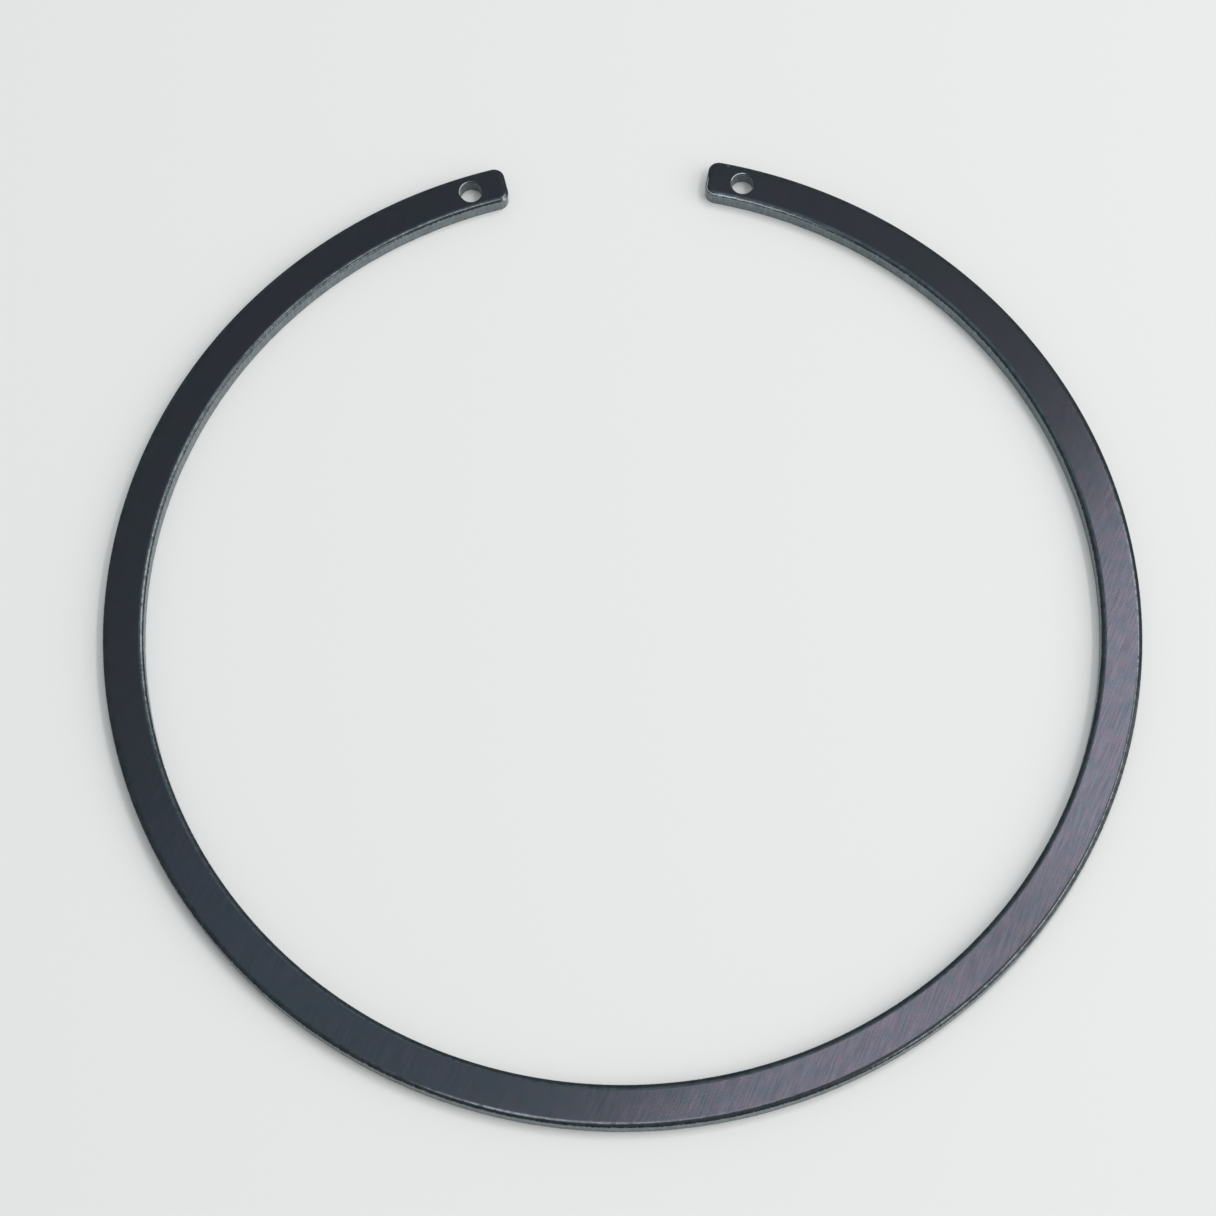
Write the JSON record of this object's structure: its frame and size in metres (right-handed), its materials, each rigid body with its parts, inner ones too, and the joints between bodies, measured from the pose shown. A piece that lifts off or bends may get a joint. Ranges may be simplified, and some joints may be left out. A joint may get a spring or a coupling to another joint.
{
  "type": "retaining ring",
  "caption": "Flat open snap ring stamped from black spring steel, with rounded ends and a plier hole near each end, for a groove inside a round housing.",
  "frame": {"origin": "centre of the outer rim, on the flat underside of the ring", "axes": "+Z along the ring's axis, out of the face whose edges carry the die roll; +Y from the centre to the middle of the gap"},
  "size_m": [0.112, 0.1105, 0.002],
  "materials": {
    "black_spring_steel": "satin black chemical finish on hardened spring steel, with a dull grey fracture zone on the cut edges"
  },
  "bodies": {
    "root": {"retaining_ring": "black_spring_steel"}
  },
  "joints": []
}
